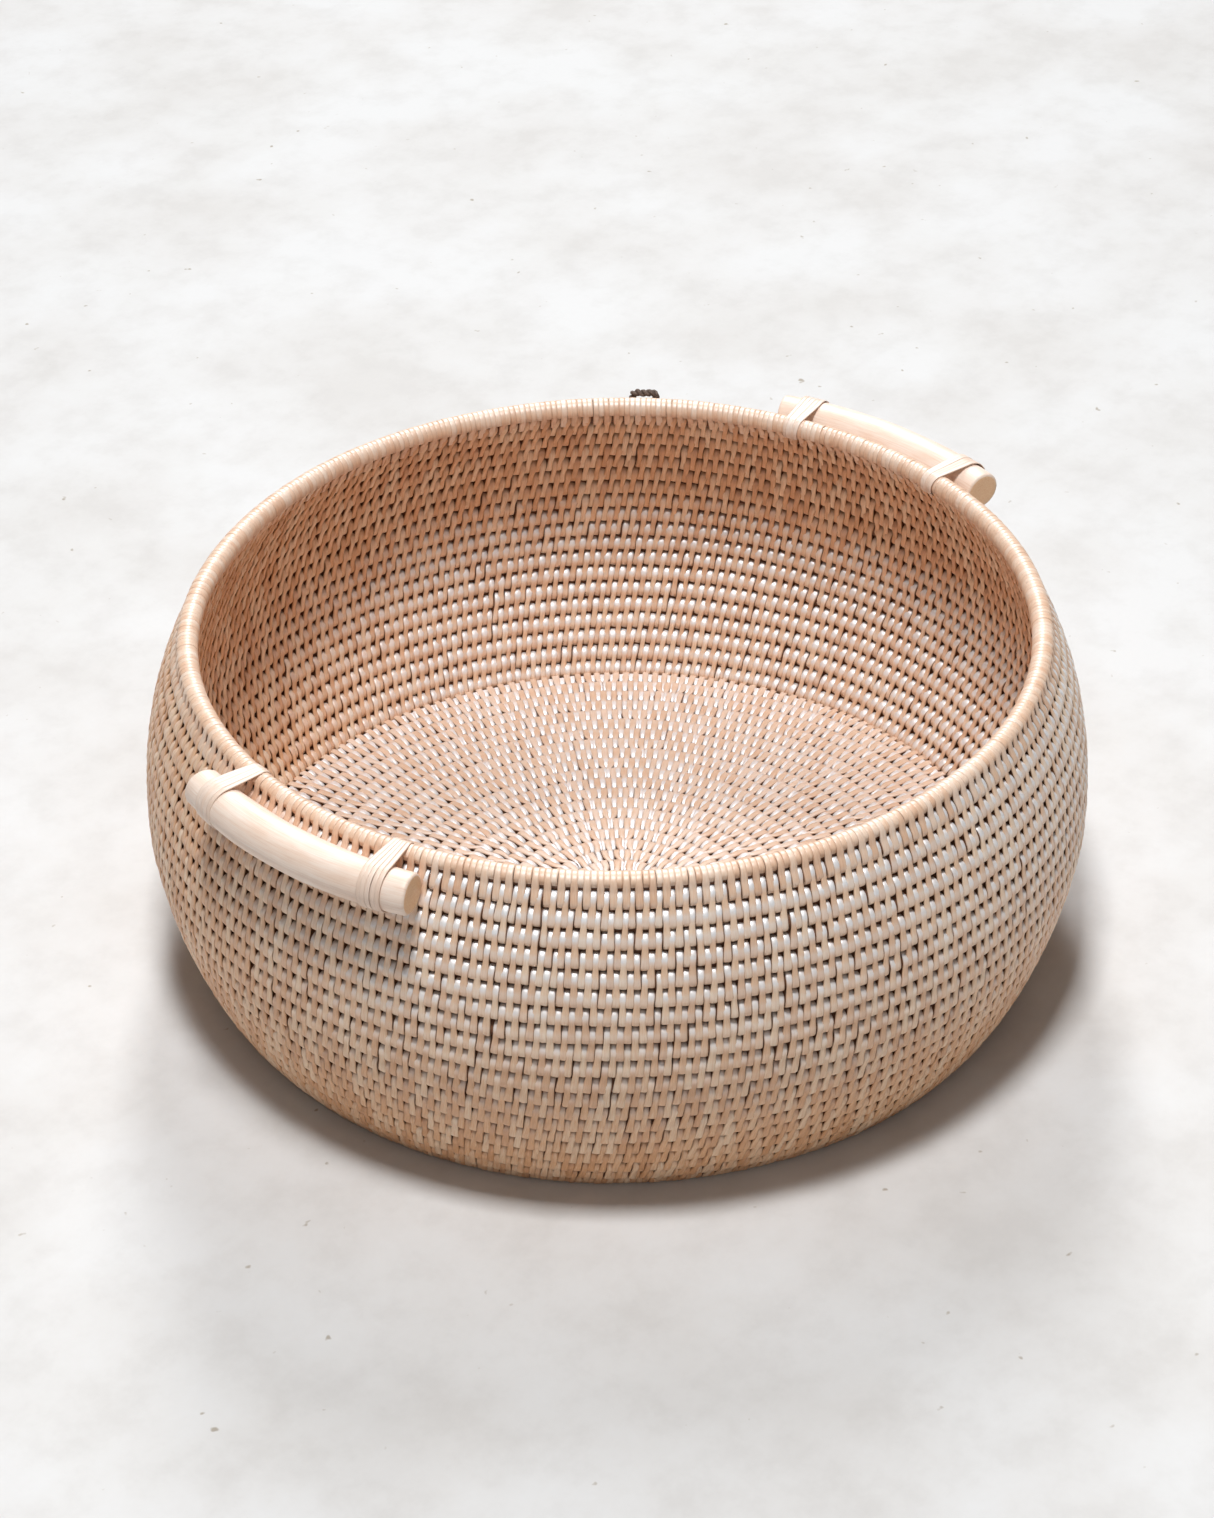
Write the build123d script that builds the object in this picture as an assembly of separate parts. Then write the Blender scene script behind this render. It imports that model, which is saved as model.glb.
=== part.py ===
from build123d import *
import math
import os

# A round, bellied basket of stitched rattan coil, in millimetres.
# Origin: centre of the foot, on the ground. +Z up, the two handles on the X axis.

# wall
belly_radius = 245.0        # centre of the coil at the widest place
belly_height = 91.6
foot_radius = 211.5         # where the centre line of the wall would meet the ground
foot_curve = 1.45           # power of the curve from the foot to the belly
shoulder_curve = 2.4        # power of the curve from the belly to the rim
row_count = 20
wall_bands = {"lower": (0, 6), "belly": (7, 13), "shoulder": (14, 19)}
row_radius = 5.0            # a coil row with its stitches
rod_radius = 3.6            # the rattan rod inside a row
rod_clearance = 0.15
stitch_web = 7.0            # thickness of the stitches where they cross between two rows
first_row_height = 4.6      # lower than row_radius, so the foot is worn flat

# floor
floor_row_count = 21
floor_row_pitch = 9.75
floor_first_radius = 9.0    # the first turn of the coil, round the middle
floor_height = 8.7          # centre of the floor's coil
floor_edge = 212.2          # where the floor ends and the wall's seam begins
seam_thickness = 5.0

# rim
rim_radius = 221.0
rim_height = 192.0
rim_roll_radius = 5.7
rim_rod_radius = 4.3

# handles
pole_radius = 11.25
pole_centre_radius = 243.0
pole_height = 187.0
pole_span = 33.2            # degrees of the rim that a pole follows
pole_chamfer = 1.4
lashing_offset = 12.4       # degrees from the middle of the pole
lashing_width = 2.83        # degrees, 12 mm along the pole
lashing_thickness = 1.0
lashing_gap = 0.1

# twine loop on the back of the rim
twine_angle = 35.6          # degrees from +X towards +Y
twine_radius = 2.2
twine_half_width = 9.0
twine_top_radius = 229.0
twine_top_height = 197.2
twine_side_radius = 238.0
twine_side_height = 181.5
twine_bend = 3.5


def wall_centre(height):
    """Radius of the coil's centre line at a height above the ground."""
    if height < belly_height:
        drop = (belly_height - height) / belly_height
        return foot_radius + (belly_radius - foot_radius) * (1 - drop**foot_curve) ** (1 / foot_curve)
    rise = (height - belly_height) / (rim_height - belly_height)
    return belly_radius - (belly_radius - rim_radius) * rise**shoulder_curve


def wall_rows():
    """Centres of the wall's rows as (radius, height), evenly spaced along the centre line."""
    step = 0.1
    steps = round((rim_height - first_row_height) / step)
    heights = [first_row_height + step * i for i in range(steps + 1)]
    line = [(wall_centre(height), height) for height in heights]
    travelled = [0.0]
    for start, end in zip(line, line[1:]):
        travelled.append(travelled[-1] + math.dist(start, end))
    pitch = (travelled[-1] - row_radius - rim_roll_radius) / (row_count - 1)
    rows = []
    for place, length in zip(line, travelled):
        if len(rows) < row_count and length >= pitch * len(rows) - 0.01:
            rows.append(place)
    return rows


def floor_rows():
    """Centres of the floor's turns as (radius, height)."""
    return [(floor_first_radius + floor_row_pitch * i, floor_height) for i in range(floor_row_count)]


def discs(places, radius):
    return Sketch() + [Pos(r, z) * Circle(radius) for r, z in places]


def web(start, end, thickness):
    """A bar of the section from one centre to the next."""
    length = math.dist(start, end)
    angle = math.degrees(math.atan2(end[1] - start[1], end[0] - start[0]))
    middle = Pos((start[0] + end[0]) / 2, (start[1] + end[1]) / 2)
    return middle * Rot(0, 0, angle) * Rectangle(length, thickness)


def spin(section, degrees=360.0):
    """Turn a section about the basket's axis, centred on +X."""
    solid = revolve(Plane.XZ * section, Axis.Z, degrees)
    if degrees < 360.0:
        return Rot(0, 0, -degrees / 2) * solid
    return solid


def stitched_section(rows, holes=True):
    """Scalloped section of the stitches round a run of rods, with a hole for each rod."""
    section = discs(rows, row_radius)
    section += [web(a, b, stitch_web) for a, b in zip(rows, rows[1:])]
    if holes:
        section -= discs(rows, rod_radius + rod_clearance)
    return section


def above_ground(section):
    ground = Pos(belly_radius, -row_radius) * Rectangle(2 * belly_radius, 2 * row_radius)
    return section - ground


def wall_section(first=0, last=row_count - 1, holes=True):
    """Section of the stitches round a band of rows, with the web down to what is below the band."""
    rows = wall_rows()
    band = rows[first : last + 1]
    section = stitched_section(band, holes=False)
    if first == 0:
        section += web((floor_edge, floor_height), rows[0], seam_thickness)
        section -= Pos(floor_edge / 2, floor_height) * Rectangle(floor_edge, 4 * row_radius)
    else:
        section += web(rows[first - 1], rows[first], stitch_web)
        section -= discs([rows[first - 1]], row_radius)
    if holes:
        section -= discs(band, rod_radius + rod_clearance)
    return above_ground(section)


def floor_section():
    rows = floor_rows()
    middle = web((0, floor_height), rows[0], stitch_web)
    edge = web(rows[-1], (floor_edge, floor_height), seam_thickness)
    section = stitched_section(rows, holes=False) + middle + edge
    beyond = Pos(floor_edge + row_radius, floor_height) * Rectangle(2 * row_radius, 4 * row_radius)
    return section - beyond - discs(rows, rod_radius + rod_clearance)


def rim_section(holes=True):
    rim = (rim_radius, rim_height)
    section = Pos(*rim) * Circle(rim_roll_radius)
    section += web(rim, wall_rows()[-1], stitch_web)
    section -= wall_section(holes=False)
    if holes:
        section -= Pos(*rim) * Circle(rim_rod_radius + rod_clearance)
    return section


def lashing_section():
    """A strap round the pole and over the rim, down to the wall on both sides."""
    pole = Pos(pole_centre_radius, pole_height) * Circle(pole_radius + lashing_gap)
    rim = Pos(rim_radius, rim_height) * Circle(rim_roll_radius + lashing_gap)
    bound = make_hull((pole + rim).edges())
    strap = offset(bound, amount=lashing_thickness) - bound
    strap -= wall_section(holes=False) + rim_section(holes=False)
    strap -= Pos(*wall_rows()[-1]) * Circle(row_radius + lashing_gap)
    return strap


def handle_pole():
    pole = spin(Pos(pole_centre_radius, pole_height) * Circle(pole_radius), pole_span)
    ends = pole.edges().filter_by(GeomType.CIRCLE).filter_by(lambda edge: abs(edge.radius - pole_radius) < 0.01)
    return chamfer(ends, pole_chamfer)


def twine_loop():
    """A short loop of twine, tight over the shoulder of the rim, its ends in the wall."""
    wall = wall_rows()[-2]
    side = (twine_side_radius, twine_side_height)
    reach = math.dist(wall, side)
    out = (row_radius + 0.1) / reach
    entry = (wall[0] + (side[0] - wall[0]) * out, wall[1] + (side[1] - wall[1]) * out)
    left = [entry, side, (twine_top_radius, twine_top_height)]
    points = [(r, -twine_half_width, z) for r, z in left]
    points += [(r, twine_half_width, z) for r, z in reversed(left)]
    path = FilletPolyline(*points, radius=twine_bend)
    tube = sweep(Plane(path @ 0, z_dir=path % 0) * Circle(twine_radius), path=path)
    return Rot(0, 0, twine_angle) * tube


def turned(solid, degrees):
    return Rot(0, 0, degrees) * solid


def save(name, solids):
    label = Compound(label=name, children=list(solids)) if len(solids) > 1 else solids[0]
    export_step(label, f"parts/{name}.step")


os.makedirs("parts", exist_ok=True)

save("wall_coil_rod", [spin(Pos(r, z) * Circle(rod_radius)).solid() for r, z in wall_rows()])
for band, (first, last) in wall_bands.items():
    save(f"wall_stitching_{band}", [spin(wall_section(first, last)).solid()])
save("floor_coil_rod", [spin(Pos(r, z) * Circle(rod_radius)).solid() for r, z in floor_rows()])
save("floor_stitching", [spin(floor_section()).solid()])
save("rim_rod", [spin(Pos(rim_radius, rim_height) * Circle(rim_rod_radius)).solid()])
save("rim_wrapping", [spin(rim_section()).solid()])

pole = handle_pole()
lashing = spin(lashing_section(), lashing_width)
for side, middle in (("right", 0), ("left", 180)):
    save(f"handle_pole_{side}", [turned(pole, middle).solid()])
    for end, offset_angle in (("a", -lashing_offset), ("b", lashing_offset)):
        save(f"lashing_{side}_{end}", [turned(lashing, middle + offset_angle).solid()])

save("twine_loop", [twine_loop().solid()])
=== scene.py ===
import math

import bpy
import numpy as np
from mathutils import Matrix, Vector


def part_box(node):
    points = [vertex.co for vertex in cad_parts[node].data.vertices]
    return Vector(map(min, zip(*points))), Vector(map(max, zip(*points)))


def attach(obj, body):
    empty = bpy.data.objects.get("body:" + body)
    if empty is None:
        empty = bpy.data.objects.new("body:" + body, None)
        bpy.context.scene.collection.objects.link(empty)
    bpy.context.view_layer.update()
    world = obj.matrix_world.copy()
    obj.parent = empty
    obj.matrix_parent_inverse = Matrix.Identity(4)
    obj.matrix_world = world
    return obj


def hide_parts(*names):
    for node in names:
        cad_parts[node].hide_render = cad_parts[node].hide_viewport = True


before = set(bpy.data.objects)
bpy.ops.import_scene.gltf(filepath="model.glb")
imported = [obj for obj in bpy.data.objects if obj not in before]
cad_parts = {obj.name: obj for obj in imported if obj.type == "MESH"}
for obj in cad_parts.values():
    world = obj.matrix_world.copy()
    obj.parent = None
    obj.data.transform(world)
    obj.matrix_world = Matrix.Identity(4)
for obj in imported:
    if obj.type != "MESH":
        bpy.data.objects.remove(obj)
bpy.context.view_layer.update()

MM = 0.001

# ---------------------------------------------------------------- sizes read from the frame

coil_low, coil_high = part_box("wall_coil_rod")
rod_radius = 3.6 * MM
belly_radius = coil_high.x - rod_radius
first_row_height = coil_low.z + rod_radius

roll_radius = 5.7 * MM
rim_low, rim_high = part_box("rim_wrapping")
rim_radius = rim_high.x - roll_radius
rim_height = rim_high.z - roll_radius
rim_rod_radius = 4.3 * MM

floor_low, floor_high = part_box("floor_coil_rod")
floor_height = (floor_low.z + floor_high.z) / 2
floor_rod_count = 21
floor_first_radius = 9.0 * MM
floor_pitch = (floor_high.x - rod_radius - floor_first_radius) / (floor_rod_count - 1)

pole_low, pole_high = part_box("handle_pole_right")
pole_radius = (pole_high.z - pole_low.z) / 2
pole_height = (pole_high.z + pole_low.z) / 2
pole_centre_radius = pole_high.x - pole_radius
pole_half_span = math.radians(33.2 / 2)
pole_chamfer = 1.4 * MM

# the wall's centre line, as in the CAD
belly_height = 91.6 * MM
foot_radius = 211.5 * MM
foot_curve = 1.45
shoulder_curve = 2.4
row_count = 20
row_radius = 5.0 * MM
column_count = 460

# the slight unevenness of hand work: how far the rows and the round wander, and in how many waves
row_sway = 0.45 * MM
ROW_WAVES = (2, 3, 5, 9, 14)
round_sway = 0.55 * MM
ROUND_WAVES = (2, 3, 4, 7)
least_height = 0.15 * MM      # the lowest strips are pressed flat against the ground

# how the columns lean down the wall, outside and inside, and where the outside ones curl more
OUTSIDE_LEAN = 0.05
OUTSIDE_CURL = 0.16
CURL_START = 0.35
INSIDE_LEAN = 0.17

# ---------------------------------------------------------------- the wall as a surface


def wall_centre(height):
    """Radius of the wall's centre line at a height, as in the CAD."""
    drop = np.clip((belly_height - height) / belly_height, 0, 1)
    below = foot_radius + (belly_radius - foot_radius) * (1 - drop**foot_curve) ** (1 / foot_curve)
    rise = np.clip((height - belly_height) / (rim_height - belly_height), 0, 1)
    above = belly_radius - (belly_radius - rim_radius) * rise**shoulder_curve
    return np.where(height < belly_height, below, above)


line_z = np.linspace(first_row_height, rim_height, 2400)
line_r = wall_centre(line_z)
line_s = np.concatenate([[0], np.cumsum(np.hypot(np.diff(line_r), np.diff(line_z)))])
wall_length = line_s[-1]
line_dr = np.gradient(line_r, line_s)
line_dz = np.gradient(line_z, line_s)
row_pitch = (wall_length - row_radius - roll_radius) / (row_count - 1)
top_rise = 2.7 * MM       # the rows crowd up towards the rim by this much


def row_place(row):
    """Distance up the centre line from the first row to a row."""
    return row_pitch * row + top_rise * np.clip(row / (row_count - 1), 0, 1.05) ** 1.6


row_places = row_place(np.arange(row_count))


def waves(angle, counts, size, seed):
    """A smooth closed wave round the basket, such as hand work leaves."""
    draw = np.random.default_rng(seed)
    total = np.zeros_like(angle)
    for count in counts:
        total = total + draw.uniform(0.5, 1.0) * np.sin(count * angle + draw.uniform(0, math.tau))
    return size * total / math.sqrt(len(counts))


def wall_section_point(place, out):
    """Radius, height and outward normal of a point that lies out from the centre line at a place along it.
    Below the first row the line turns in round that row, under the foot."""
    on_line = np.clip(place, 0, wall_length)
    radius = np.interp(on_line, line_s, line_r)
    height = np.interp(on_line, line_s, line_z)
    normal_r = np.interp(on_line, line_s, line_dz)
    normal_z = -np.interp(on_line, line_s, line_dr)
    turn = np.minimum(place, 0) / row_radius * np.sign(out)
    cos, sin = np.cos(turn), np.sin(turn)
    normal_r, normal_z = normal_r * cos - normal_z * sin, normal_r * sin + normal_z * cos
    over = np.maximum(place - wall_length, 0)
    radius = radius + out * normal_r - over * normal_z
    height = height + out * normal_z + over * normal_r
    return radius, height, normal_r, normal_z


def spun(angle, r, z):
    """Points or directions at r and z, turned to an angle about the basket's axis."""
    x, y = r * np.cos(angle), r * np.sin(angle)
    return np.stack([x, y, np.broadcast_to(z, x.shape)], -1)


def wall_space(angle, place, out):
    """Point and outward normal in space, with the slight unevenness of the rows and of the round."""
    hold = np.sin(math.pi * np.clip(place / wall_length, 0, 1))
    swayed = place + hold * waves(angle + place * 4.0, ROW_WAVES, row_sway, 11)
    radius, height, normal_r, normal_z = wall_section_point(swayed, out)
    radius = radius + waves(angle + place * 2.5, ROUND_WAVES, round_sway, 12)
    height = np.maximum(height, least_height)
    return spun(angle, radius, height), spun(angle, normal_r, normal_z)


def twist(place, face):
    """The columns lean, one way outside and the other way inside, and hang straight from the rim."""
    down = (wall_length - place) / belly_radius
    if face > 0:
        return -OUTSIDE_LEAN * down - OUTSIDE_CURL * np.maximum(down - CURL_START, 0) ** 1.5
    return INSIDE_LEAN * down


# ---------------------------------------------------------------- mesh building


def add_piece(name, points, quads, triangles, attributes, material, nodes):
    """One mesh object of quads and triangles, with named point attributes for its material."""
    mesh = bpy.data.meshes.new(name)
    mesh.vertices.add(len(points))
    mesh.vertices.foreach_set("co", np.asarray(points, np.float32).ravel())
    quads = np.asarray(quads, np.int32).reshape(-1, 4)
    triangles = np.asarray(triangles, np.int32).reshape(-1, 3)
    corners = np.concatenate([quads.ravel(), triangles.ravel()])
    mesh.loops.add(len(corners))
    mesh.loops.foreach_set("vertex_index", corners)
    face_count = len(quads) + len(triangles)
    mesh.polygons.add(face_count)
    starts = np.concatenate([4 * np.arange(len(quads)), 4 * len(quads) + 3 * np.arange(len(triangles))])
    mesh.polygons.foreach_set("loop_start", starts.astype(np.int32))
    mesh.polygons.foreach_set("use_smooth", np.ones(face_count, bool))
    mesh.update(calc_edges=True)
    for key, values in attributes.items():
        layer = mesh.attributes.new(key, "FLOAT", "POINT")
        layer.data.foreach_set("value", np.asarray(values, np.float32).ravel())
    piece = bpy.data.objects.new(name, mesh)
    bpy.context.scene.collection.objects.link(piece)
    mesh.materials.append(material)
    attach(piece, "root")
    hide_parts(*nodes)
    return piece


def add_strips(name, strips, skin, part, node, *section):
    """One piece of many strips: their centres, normals, widths, thicknesses and attributes."""
    *shape, attributes = strips
    points, quads = ribbons(*shape, *section)
    add_piece(name, points, quads, [], attributes, skin, [node])


def unit(vectors):
    return vectors / np.linalg.norm(vectors, axis=-1, keepdims=True)


# the section of a split cane strip: across in half widths, up in thicknesses
SECTION_ACROSS = np.array([-1.0, -0.9, -0.46, 0.46, 0.9, 1.0])
SECTION_UP = np.array([-0.5, 0.22, 0.47, 0.47, 0.22, -0.5])
FLAT_UP = np.array([-0.5, 0.4, 0.5, 0.5, 0.4, -0.5])


def ribbon_faces(strips, stations, corners):
    """Quads of closed ribbons whose points are numbered strip by strip, station by station."""
    strip = np.arange(strips)[:, None, None] * stations * corners
    station = np.arange(stations - 1)[None, :, None] * corners
    corner = np.arange(corners)[None, None, :]
    after = (corner + 1) % corners
    here = strip + station
    sides = np.stack([here + corner, here + after, here + corners + after, here + corners + corner], -1)
    first = strip[:, 0, 0]
    last = first + (stations - 1) * corners
    near = [[first + 5, first + 4, first + 1, first], [first + 4, first + 3, first + 2, first + 1]]
    far = [[last, last + 1, last + 4, last + 5], [last + 1, last + 2, last + 3, last + 4]]
    ends = np.concatenate([np.stack(corners_of, -1) for corners_of in near + far])
    return np.concatenate([sides.reshape(-1, 4), ends])


def ribbons(centre, normal, width, thickness, section_up=SECTION_UP):
    """Points and quads of many ribbons: centre and normal are strips by stations by 3."""
    tangent = unit(np.gradient(centre, axis=1))
    normal = unit(normal - tangent * np.sum(normal * tangent, -1, keepdims=True))
    side = np.cross(tangent, normal)
    across = SECTION_ACROSS[None, None, :, None] * width[:, :, None, None] / 2
    up = section_up[None, None, :, None] * thickness[:, :, None, None]
    points = centre[:, :, None, :] + side[:, :, None, :] * across + normal[:, :, None, :] * up
    strips, stations = centre.shape[:2]
    return points.reshape(-1, 3), ribbon_faces(strips, stations, len(SECTION_ACROSS))


def ribbon_attributes(along, tone, length, painted_light=None):
    """Values at every point: along and across, the strip's tone and its share of painted light, a length
    for the grain.
    """
    corners = len(SECTION_ACROSS)
    strips, stations = along.shape
    spread = np.repeat(along[:, :, None], corners, 2)
    across = np.broadcast_to(SECTION_ACROSS[None, None, :], spread.shape)
    tones = np.broadcast_to(tone[:, None, None], spread.shape)
    lengths = np.repeat(length[:, :, None], corners, 2)
    painted_light_amount = np.ones(strips) if painted_light is None else painted_light
    painted_lights = np.broadcast_to(painted_light_amount[:, None, None], spread.shape)
    return {"along": spread, "across": across, "tone": tones, "run": lengths, "painted_light": painted_lights}


# ---------------------------------------------------------------- a stitch over two rows

# Along a stitch, in row pitches from the middle of its first row: where it comes out under the row above,
# crosses two rows and goes in again. Then its outer face over the centre line and its width,
# outside the wall (1) and inside it (-1).
STITCH_AT = np.array([-0.47, -0.44, -0.38, -0.28, -0.14, 0.02, 0.18, 0.34,
                      0.5, 0.68, 0.88, 1.06, 1.22, 1.34, 1.42, 1.47])
STITCH_OUT = {
    1: MM * np.array([0.9, 2.2, 3.3, 4.2, 4.8, 5.0, 4.9, 4.7, 4.6, 4.65, 4.85, 5.0, 4.9, 4.3, 3.0, 1.2]),
    -1: MM * np.array([0.9, 2.3, 3.5, 4.4, 5.05, 5.3, 5.15, 4.8, 4.5, 4.45, 4.6, 4.6, 4.2, 3.2, 1.8, 0.6]),
}
STITCH_WIDE = {
    1: np.array([0.9, 0.97, 1.02, 1.03, 1.0, 0.95, 0.9, 0.89,
                 0.94, 1.04, 1.1, 1.16, 1.22, 1.24, 1.2, 1.1]),
    -1: np.array([0.95, 1.05, 1.13, 1.16, 1.13, 1.03, 0.93, 0.87,
                  0.85, 0.9, 1.0, 1.1, 1.15, 1.15, 1.1, 1.02]),
}
# how much painted light the strips that start on a row get, as painted highlight and paling, on each face
# of the wall
PAINTED_LIGHT_ROW = {1: [3, 8, 13, 19], -1: [9.6, 10.6, 11.6, 13.0]}
PAINTED_LIGHT_SHARE = {1: [0.05, 0.4, 0.9, 1.1], -1: [1.0, 0.8, 0.4, 0.1]}
SHADED_SIDE = math.radians(130.4)      # the strips on this side, which lies in shade, get less painted light
SIDE_SHADE = 0.8
PAINTED_LIGHT_WAVES = (1, 2, 5, 9)
strip_thickness = 0.9 * MM
strip_fill = 1.1          # a strip's width, in columns
missing_share = 0.0002    # of the strips

# how uneven the strips are: in row pitches along the wall, in columns round it, and in metres out from it
START_NOISE, LENGTH_NOISE, LEAN_NOISE = 0.02, 0.025, 0.035
COLUMN_NOISE, WIDTH_NOISE = 0.09, 0.06
out_noise = 0.12 * MM

rng = np.random.default_rng(612)


def stitch_noise(count, size):
    return np.clip(rng.normal(0, size, (count, 1)), -2.2 * size, 2.2 * size)


def wall_stitches(rows, face):
    """Centre, normal, width, thickness and attributes of the stitches that start on these rows."""
    row = np.repeat(rows, column_count)
    column = np.tile(np.arange(column_count), len(rows))
    starts = (row + column) % 2 == 0
    row, column = row[starts], column[starts]
    kept = rng.random(len(row)) > missing_share
    row, column = row[kept], column[kept]
    count = len(row)
    step = math.tau / column_count
    at = STITCH_AT[None, :] + stitch_noise(count, START_NOISE)
    at = at + np.linspace(-1, 1, len(STITCH_AT))[None, :] ** 3 * stitch_noise(count, LENGTH_NOISE)
    place = row_places[row][:, None] - at * row_pitch
    lowest = -1.02 * row_pitch
    place = np.maximum(place, lowest + 0.02 * row_pitch * (place - place.min(1, keepdims=True)) / row_pitch)
    out = STITCH_OUT[face][None, :] - strip_thickness / 2 + stitch_noise(count, out_noise)
    lean = stitch_noise(count, LEAN_NOISE) * (at - 0.5)
    angle = (column[:, None] + 0.5) * step + twist(place, face) + stitch_noise(count, COLUMN_NOISE * step)
    angle = angle + lean * row_pitch / belly_radius
    centre, normal = wall_space(angle, place, face * np.maximum(out, 0.2 * MM))
    width = strip_fill * step * np.interp(place[:, :1], line_s, line_r) * STITCH_WIDE[face][None, :]
    width = width * (1 + stitch_noise(count, WIDTH_NOISE))
    thickness = np.full_like(width, strip_thickness)
    # painted light per strip: lit rows get the painted highlight and paling, while rows in the rim's shadow
    # and on the shaded side get less
    uneven = row + waves(angle[:, 0], PAINTED_LIGHT_WAVES, 0.35, 31) + stitch_noise(count, 0.3)[:, 0]
    in_side_shade = np.clip(2.2 * np.cos(angle[:, 0] - SHADED_SIDE) - 0.9, 0, 1)
    painted_light = np.interp(uneven, PAINTED_LIGHT_ROW[face], PAINTED_LIGHT_SHARE[face]) * (1 - SIDE_SHADE * in_side_shade)
    attributes = ribbon_attributes(at, rng.random(count), at * row_pitch, painted_light)
    return centre, face * normal, width, thickness, attributes


CORE_CORNERS = 8      # on each row of a core, and on each of its faces
CORE_STEPS = 230
CORE_RADIUS = 4.15 * MM
CORE_WEB = 1.3 * MM       # least half thickness, between two rods


def core_profile(rows):
    """Half thickness of the coil's core along its rows: round rods, closed between one and the next."""
    at = (np.arange(rows * CORE_CORNERS + 1) / CORE_CORNERS) - 0.5
    within = np.abs(at - np.round(at)) * row_pitch
    return at, np.maximum(np.sqrt(np.maximum(CORE_RADIUS**2 - within**2, 0)), CORE_WEB)


def core_mesh(outer, inner, angles):
    """Closed shell turned about the axis: outer and inner are places by angles by 3."""
    loop = np.concatenate([outer, inner[::-1]])
    corners, steps = loop.shape[:2]
    corner = np.arange(corners)[:, None]
    after = (corner + 1) % corners
    step = np.arange(steps)[None, :]
    following = (step + 1) % steps
    here, there = corner * steps, after * steps
    quads = [here + step, here + following, there + following, there + step]
    run = np.broadcast_to(angles[None, :] * belly_radius, (corners, steps))
    row = np.broadcast_to(np.arange(corners)[:, None] // CORE_CORNERS * 1.7, (corners, steps))
    return loop.reshape(-1, 3), np.stack(quads, -1).reshape(-1, 4), {"run": run + row}


def ring_tube(place, radius, sides, steps):
    """Points, quads and attributes of a closed ring at a place along the wall."""
    angle = np.arange(steps) * math.tau / steps
    around = np.arange(sides) * math.tau / sides
    point, _ = wall_space(angle, place + np.zeros(steps), np.full(steps, 1e-9))
    r = np.hypot(point[:, 0], point[:, 1])[:, None] + radius * np.cos(around)[None, :]
    z = point[:, 2:] + radius * np.sin(around)[None, :]
    ring = np.stack([r * np.cos(angle)[:, None], r * np.sin(angle)[:, None], z], -1)
    step = np.arange(steps)[:, None] * sides
    following = (np.arange(steps)[:, None] + 1) % steps * sides
    side = np.arange(sides)[None, :]
    after = (side + 1) % sides
    quads = np.stack([following + side, following + after, step + after, step + side], -1)
    return ring.reshape(-1, 3), quads.reshape(-1, 4), {"run": np.repeat(angle * rim_radius, sides)}


# ---------------------------------------------------------------- materials


def new_material(name):
    material = bpy.data.materials.new(name)
    material.use_nodes = True
    tree = material.node_tree
    shader = tree.nodes["Principled BSDF"]
    return material, tree, shader


def attribute(tree, name):
    node = tree.nodes.new("ShaderNodeAttribute")
    node.attribute_name = name
    return node.outputs["Fac"]


def math_node(tree, operation, first, second=None):
    node = tree.nodes.new("ShaderNodeMath")
    node.operation = operation
    for socket, value in zip(node.inputs, (first, second)):
        if value is None:
            continue
        if isinstance(value, (int, float)):
            socket.default_value = value
        else:
            tree.links.new(value, socket)
    return node.outputs[0]


def times(tree, first, second):
    return math_node(tree, "MULTIPLY", first, second)


def combine(tree, x, y, z):
    node = tree.nodes.new("ShaderNodeCombineXYZ")
    for socket, value in zip(node.inputs, (x, y, z)):
        if isinstance(value, (int, float)):
            socket.default_value = value
        else:
            tree.links.new(value, socket)
    return node.outputs[0]


def noise(tree, vector, scale, detail=3.0, roughness=0.55):
    node = tree.nodes.new("ShaderNodeTexNoise")
    node.inputs["Scale"].default_value = scale
    node.inputs["Detail"].default_value = detail
    node.inputs["Roughness"].default_value = roughness
    tree.links.new(vector, node.inputs["Vector"])
    return node.outputs["Fac"]


def ramp(tree, value, stops):
    """Colour ramp from (position, (r, g, b)) stops, in linear colour."""
    node = tree.nodes.new("ShaderNodeValToRGB")
    elements = node.color_ramp.elements
    while len(elements) > len(stops):
        elements.remove(elements[-1])
    while len(elements) < len(stops):
        elements.new(1.0)
    for element, (position, colour) in zip(elements, stops):
        element.position = position
        element.color = (*colour, 1.0)
    tree.links.new(value, node.inputs["Fac"])
    return node.outputs["Color"]


def grey_ramp(tree, value, stops):
    return ramp(tree, value, [(position, (level,) * 3) for position, level in stops])


def mix(tree, mode, factor, first, second):
    node = tree.nodes.new("ShaderNodeMix")
    node.data_type = "RGBA"
    node.blend_type = mode
    sockets = [s for s in node.inputs if s.enabled]
    for socket, value in zip(sockets, (factor, first, second)):
        if isinstance(value, tuple):
            socket.default_value = (*value, 1.0)
        elif isinstance(value, (int, float)):
            socket.default_value = value
        else:
            tree.links.new(value, socket)
    return [s for s in node.outputs if s.enabled][0]


def tinted(tree, first, second):
    return mix(tree, "MULTIPLY", 1.0, first, second)


def bump(tree, shader, height, strength, distance):
    node = tree.nodes.new("ShaderNodeBump")
    node.inputs["Strength"].default_value = strength
    node.inputs["Distance"].default_value = distance
    tree.links.new(height, node.inputs["Height"])
    tree.links.new(node.outputs["Normal"], shader.inputs["Normal"])


def srgb(red, green, blue):
    """Linear colour of a colour given as sRGB, 0 to 255."""
    values = []
    for level in (red, green, blue):
        share = level / 255
        values.append(share / 12.92 if share <= 0.04045 else ((share + 0.055) / 1.055) ** 2.4)
    return tuple(values)


def facing_up(tree):
    """How far the surface faces up, from -1 to 1."""
    geometry = tree.nodes.new("ShaderNodeNewGeometry")
    parts = tree.nodes.new("ShaderNodeSeparateXYZ")
    tree.links.new(geometry.outputs["Normal"], parts.inputs[0])
    return parts.outputs["Z"]
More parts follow.
